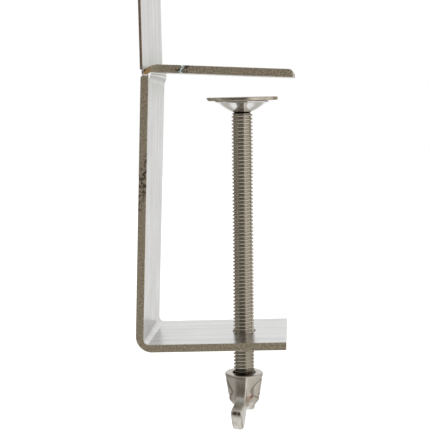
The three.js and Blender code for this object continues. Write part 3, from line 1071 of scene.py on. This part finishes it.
def build_pad():
    """The plate sits a little askew, and its rim is undercut on one side and rounded on the other."""
    top, under = disc_high.z, disc_low.z
    middle = (top + under) / 2
    rim = disc_high.x
    profile = [(HAIR, top), (4, top), (8, top), (rim - 0.3, top)]
    profile += arc_points((rim - PAD_TOP_ROUND, top - PAD_TOP_ROUND), PAD_TOP_ROUND, 90, 0, 3)
    profile += [(rim, middle)]
    profile += arc_points((rim - PAD_UNDER_ROUND, under + PAD_UNDER_ROUND), PAD_UNDER_ROUND, 0, -90, 4)
    profile += [(rim - 0.6, under), (8, under), (4, under), (HAIR, under)]
    lean = Matrix.Rotation(-PAD_TILT, 3, "Y")

    def worn(point, angle):
        radius = point.xy.length
        low = (top - point.z) / (top - under)
        left = max(0.0, -cos(angle)) ** 2
        if radius > rim - 0.5:
            dent = noise.noise(Vector((cos(angle) * 4, sin(angle) * 4, point.z))) - 1
            scale = (radius - PAD_UNDERCUT * left * low + PAD_RIM_WEAR * dent) / radius
            point.x *= scale
            point.y *= scale
        centre = Vector((0, 0, middle))
        return lean @ (point - centre) + centre

    shape = turned(profile, 192, closed=False, change=worn)
    near_axis = [vertex for vertex in shape.verts if vertex.co.xy.length < 10 * HAIR]
    upper = [vertex for vertex in near_axis if vertex.co.z > middle]
    lower = [vertex for vertex in near_axis if vertex.co.z <= middle]
    for ring in (upper, lower):
        centre = sum((vertex.co for vertex in ring), Vector()) / len(ring)
        bmesh.ops.pointmerge(shape, verts=ring, merge_co=centre)
    finish_piece("pad_plate", shape, (PAD_STEEL,), "pad", "pad_disc", 35)


# ---- Wing nut ----

# The nut is a distance field on a grid: a runs along its wings, b across them and z up.
NUT_VOXEL = 0.13
NUT_MARGIN = 0.8
NUT_REACH = nut_high.y + NUT_MARGIN
NUT_DEPTH_REACH = 6.3
RADIUS_STEP = 0.05
SMOOTHING_ROUNDS = 3

NUT_CORNER_ROUND = 0.3
NUT_TOP_RADIUS = 5.33
NUT_TOP_BAND = 0.7
NUT_WAIST = (4.22, -90.2)
NUT_END_RADIUS = 2.3
NUT_END_Z = -92.9
NUT_BORE_RADIUS = 3.0
NUT_BORE_CHAMFER = 0.3
NUT_BORE_FLOOR_Z = screw_low.z - 0.3
GROOVE_SOFTNESS = 0.15

# Half a wing's thickness at its root and at its tip, and the distances from the axis where they hold.
WING_ROOT_HALF, WING_TIP_HALF = 1.45, 1.5
WING_ROOT_AT, WING_TIP_AT = 5, 13
WING_OFFSET = 0.15

# How round the wings' edges are near their top and near their tips, and the heights where that holds.
WING_TOP_ROUND, WING_TIP_ROUND = 0.45, 0.9
WING_TOP_ROUND_Z, WING_TIP_ROUND_Z = -91.5, -94.5
FILLET = 1.1


def cubic(start, first, second, end, steps):
    """Points along a cubic Bezier curve, without its start."""
    points = []
    for step in range(1, steps + 1):
        t = step / steps
        weights = ((1 - t) ** 3, 3 * t * (1 - t) ** 2, 3 * t * t * (1 - t), t**3)
        ends = (start, first, second, end)
        points.append([sum(w * p[i] for w, p in zip(weights, ends)) for i in (0, 1)])
    return points


def outline_distance(points, a, z):
    """Signed distance from a grid of (a, z) places to a closed outline, negative inside."""
    nearest = np.full(np.broadcast(a, z).shape, 1e9)
    inside = np.zeros(nearest.shape, bool)
    for (x0, y0), (x1, y1) in zip(points, points[1:] + points[:1]):
        ex, ey = x1 - x0, y1 - y0
        wx, wy = a - x0, z - y0
        t = np.clip((wx * ex + wy * ey) / (ex * ex + ey * ey), 0, 1)
        nearest = np.minimum(nearest, (wx - t * ex) ** 2 + (wy - t * ey) ** 2)
        if ey:
            inside ^= ((y0 > z) != (y1 > z)) & (wx < ex * wy / ey)
    return np.sqrt(nearest) * np.where(inside, -1, 1)


def smooth_union(first, second, width):
    h = np.clip(0.5 + 0.5 * (second - first) / width, 0, 1)
    return second * (1 - h) + first * h - width * h * (1 - h)


def between(value, start, end):
    """0 at start, 1 at end, and held beyond them."""
    return np.clip((value - start) / (end - start), 0, 1)


def wing_outline():
    """One wing from the side, closed inside the boss."""
    top = nut_high.z - 0.5
    points = [(2.5, top), (5.15, top)]
    for first, second, end, steps in (
        ((5.5, -87.8), (6.6, -89.3), (9.6, -89.4), 10),
        ((11.5, -89.45), (12.7, -89.8), (12.75, -90.9), 8),
        ((12.75, -91.7), (12.3, -92.6), (11.9, -93.6), 6),
        ((11.3, -95.2), (10.6, -96.1), (9.2, -96.1), 6),
        ((7.0, -96.1), (6.4, -93.4), (3.6, -91.4), 8),
    ):
        points += cubic(points[-1], first, second, end, steps)
    return points + [(2.5, -90.6)]


def boss_field(radius, z):
    """Distance to the boss, from a table by radius and height."""
    soft = NUT_CORNER_ROUND
    top_radius = NUT_TOP_RADIUS - soft
    outline = [
        (0.0, nut_high.z - soft),
        (top_radius, nut_high.z - soft),
        (top_radius - 0.05, nut_high.z - NUT_TOP_BAND),
        (NUT_WAIST[0] - soft, NUT_WAIST[1]),
        (NUT_END_RADIUS - soft, NUT_END_Z + soft),
        (0.0, NUT_END_Z + soft),
    ]
    radii = np.arange(0.0, NUT_REACH + 1, RADIUS_STEP)
    table = outline_distance(outline, radii[:, None], z[0]) - soft
    position = radius[:, :, 0] / RADIUS_STEP
    whole = np.minimum(position.astype(int), len(radii) - 2)
    part = (position - whole)[:, :, None]
    return table[whole] * (1 - part) + table[whole + 1] * part


def wings_field(a, b, z):
    """Distance to the two wings: their outline through their thickness, with rounded edges."""
    profile = outline_distance(wing_outline(), np.abs(a[:, 0]), z[0])[:, None, :]
    thicker = (WING_TIP_HALF - WING_ROOT_HALF) * between(np.abs(a), WING_ROOT_AT, WING_TIP_AT)
    side = np.abs(b - WING_OFFSET * np.clip(a, -1, 1)) - WING_ROOT_HALF - thicker
    rounder = (WING_TIP_ROUND - WING_TOP_ROUND) * between(z, WING_TOP_ROUND_Z, WING_TIP_ROUND_Z)
    edge = WING_TOP_ROUND + rounder
    corner = np.sqrt(np.maximum(profile + edge, 0) ** 2 + np.maximum(side + edge, 0) ** 2)
    return corner + np.minimum(np.maximum(profile + edge, side + edge), 0) - edge


def groove_field(a, radius, z):
    """Distance to the shallow oval groove round each of the boss's two plain faces."""
    across, up = a / OVAL_HALF_WIDTH, (z - OVAL_Z) / OVAL_HALF_HEIGHT
    oval = np.abs(np.sqrt(across**2 + up**2) - 1) * OVAL_HALF_HEIGHT - GROOVE_HALF_WIDTH
    taper = (NUT_TOP_RADIUS - NUT_WAIST[0]) / (nut_high.z - NUT_WAIST[1])
    floor = radius - NUT_WAIST[0] - taper * (z - NUT_WAIST[1]) + GROOVE_DEPTH
    return np.maximum(oval, -floor)


def surface_of(field, low_corner):
    """The surface where a field on the nut's grid is zero, as a bmesh."""
    grid = openvdb.FloatGrid(1.0)
    grid.copyFromArray(np.ascontiguousarray(np.clip(field, -1, 1), dtype=np.float32))
    points, quads = grid.convertToQuads(isovalue=0.0)
    places = points * NUT_VOXEL + np.array(low_corner)
    shape = bmesh.new()
    vertices = [shape.verts.new(place) for place in places.tolist()]
    for quad in quads.tolist():
        shape.faces.new([vertices[i] for i in quad])
    return shape


def build_nut():
    """The cast nut: a boss, two wings run into it, a blind bore and an oval groove on each plain face."""
    low = nut_low.z - NUT_MARGIN
    a = np.arange(-NUT_REACH, NUT_REACH, NUT_VOXEL)[:, None, None]
    b = np.arange(-NUT_DEPTH_REACH, NUT_DEPTH_REACH, NUT_VOXEL)[None, :, None]
    z = np.arange(low, nut_high.z + NUT_MARGIN, NUT_VOXEL)[None, None, :]
    radius = np.sqrt(a * a + b * b)
    field = smooth_union(boss_field(radius, z), wings_field(a, b, z), FILLET)
    field = -smooth_union(-field, groove_field(a, radius, z), GROOVE_SOFTNESS)
    bore = radius - NUT_BORE_RADIUS - np.clip(z - (nut_high.z - NUT_BORE_CHAMFER), 0, 1)
    field = np.maximum(field, -np.maximum(bore, NUT_BORE_FLOOR_Z - z))

    shape = surface_of(field, (-NUT_REACH, -NUT_DEPTH_REACH, low))
    bmesh.ops.rotate(shape, matrix=Matrix.Rotation(NUT_TURN, 3, "Z"), verts=shape.verts)
    axes = {"use_axis_x": True, "use_axis_y": True, "use_axis_z": True}
    for _ in range(SMOOTHING_ROUNDS):
        bmesh.ops.smooth_vert(shape, verts=shape.verts, factor=0.4, **axes)
    finish_piece("cast_wing_nut", shape, (CAST_STEEL,), "screw", "wing_nut", 60)


# ---- Studio ----

CAMERA_PLACE = (19.56, -288.58, -3.76)
CAMERA_LEFT, CAMERA_DOWN, CAMERA_ROLL = radians(5.4), radians(6.75), radians(0.641)
CAMERA_LENS = 88.24
CAMERA_SENSOR = 36.0

# What the steel mirrors, over spans of the angle in degrees from straight behind the camera to its right.
WHITE = (1.0, 1.0, 1.0)
ROOM_SPANS = [
    (-180, -168, WHITE),
    (-150, -60, (0.29, 0.277, 0.25)),
    (-38, 18, (0.175, 0.158, 0.137)),
    (27, 46, (1.2, 1.165, 1.11)),
    (60, 108, (0.9, 0.875, 0.845)),
    (122, 138, (0.42, 0.39, 0.34)),
    (154, 180, WHITE),
]

# What it mirrors higher and lower: the heights in degrees where each begins and is full, and its colour.
ROOM_LEVELS = [
    (-20, -29, (0.57, 0.55, 0.505)),
    (44, 62, (0.62, 0.6, 0.57)),
    (-44, -57, WHITE),
]
DIFFUSE_BOOST = 0.25

# Floor and light, in metres.
FLOOR_HALF_SIZE = 1.5
FLOOR_DROP = 0.054
LIGHT_PLACE = (0.2, -0.3, 0.75)
LIGHT_SIZE = 0.9


def build_world():
    """A plain studio that only mirrors show. It turns with the camera, and everything else sees white."""
    world = bpy.data.worlds.new("studio")
    bpy.context.scene.world = world
    world.use_nodes = True
    world.cycles.sampling_method = "NONE"
    tree = world.node_tree
    ray = node(tree, "TexCoord").outputs["Generated"]
    spaces = {"vector_type": "VECTOR", "convert_from": "CAMERA", "convert_to": "WORLD"}
    heading = node(tree, "VectorTransform", {0: (0, 0, 1)}, **spaces).outputs[0]
    ahead = combine(tree, "NORMALIZE", combine(tree, "MULTIPLY", heading, (1, 1, 0)))
    right = combine(tree, "CROSS_PRODUCT", ahead, (0, 0, 1))
    backward_part = times(tree, measure(tree, "DOT_PRODUCT", ray, ahead), -1.0)
    right_part = measure(tree, "DOT_PRODUCT", ray, right)
    angle = calculate(tree, "ARCTAN2", right_part, backward_part)
    stops = [((turn + 180) / 360, colour) for *span, colour in ROOM_SPANS for turn in span]
    studio = colour_ramp(tree, on_line(tree, angle, 1 / (2 * pi), 0.5), stops)
    height = axis_of(tree, ray, 2)
    for start, end, colour in ROOM_LEVELS:
        share = fade(tree, height, sin(radians(start)), sin(radians(end)))
        studio = blend(tree, share, studio, (*colour, 1))
    paths = node(tree, "LightPath")
    seen = blend(tree, paths.outputs["Is Glossy Ray"], (*WHITE, 1), studio)
    strength = on_line(tree, paths.outputs["Is Diffuse Ray"], DIFFUSE_BOOST, 1.0)
    feed(tree, tree.nodes["Background"], {"Color": seen, "Strength": strength})


def paint_floor(tree):
    """Matt, nearly white paper."""
    paper = even_noise(tree, node(tree, "TexCoord").outputs["Object"], 40, detail=3.0)
    colour = blend(tree, paper, (0.93, 0.93, 0.93, 1), (0.96, 0.96, 0.96, 1))
    return {"Base Color": colour, "Metallic": 0.0, "Roughness": 0.9, "Specular IOR Level": 0.0}


def build_floor():
    shape = bmesh.new()
    bmesh.ops.create_grid(shape, x_segments=12, y_segments=12, size=FLOOR_HALF_SIZE)
    floor = add_mesh("floor", shape, [make_material("pale_paper", paint_floor)])
    floor.location.z = cad_low.z - FLOOR_DROP
    floor.visible_glossy = False


def build_light():
    """One large soft light above, which only lifts the matt surfaces."""
    light = bpy.data.lights.new("soft_top", "AREA")
    light.shape = "DISK"
    light.size = LIGHT_SIZE
    light.energy = 1.2
    lamp = add_object("soft_top", light)
    lamp.location = LIGHT_PLACE
    lamp.rotation_euler = (Vector(LIGHT_PLACE) * -1).to_track_quat("-Z", "Y").to_euler()
    lamp.visible_glossy = False


def build_camera():
    data = bpy.data.cameras.new("camera")
    data.sensor_width = CAMERA_SENSOR
    data.lens = CAMERA_LENS
    data.clip_start = 0.01
    data.clip_end = 20
    camera = add_object("camera", data)
    turn = Matrix.Rotation(CAMERA_LEFT, 3, "Z")
    turn = turn @ Matrix.Rotation(pi / 2 - CAMERA_DOWN, 3, "X")
    turn = turn @ Matrix.Rotation(-CAMERA_ROLL, 3, "Z")
    camera.rotation_mode = "QUATERNION"
    camera.rotation_quaternion = turn.to_quaternion()
    camera.location = Vector(CAMERA_PLACE) * MM
    bpy.context.scene.camera = camera


build_back()
build_jaw()
build_hook()
build_welds()
build_screw()
build_cup()
build_pad()
build_nut()

# The washer is hidden inside the cup, so its CAD shape is kept and only takes the rod's steel.
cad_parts["retaining_washer"].data.materials.clear()
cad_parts["retaining_washer"].data.materials.append(THREAD_STEEL)

build_world()
build_floor()
build_light()
build_camera()
bpy.context.scene.view_settings.view_transform = "Standard"
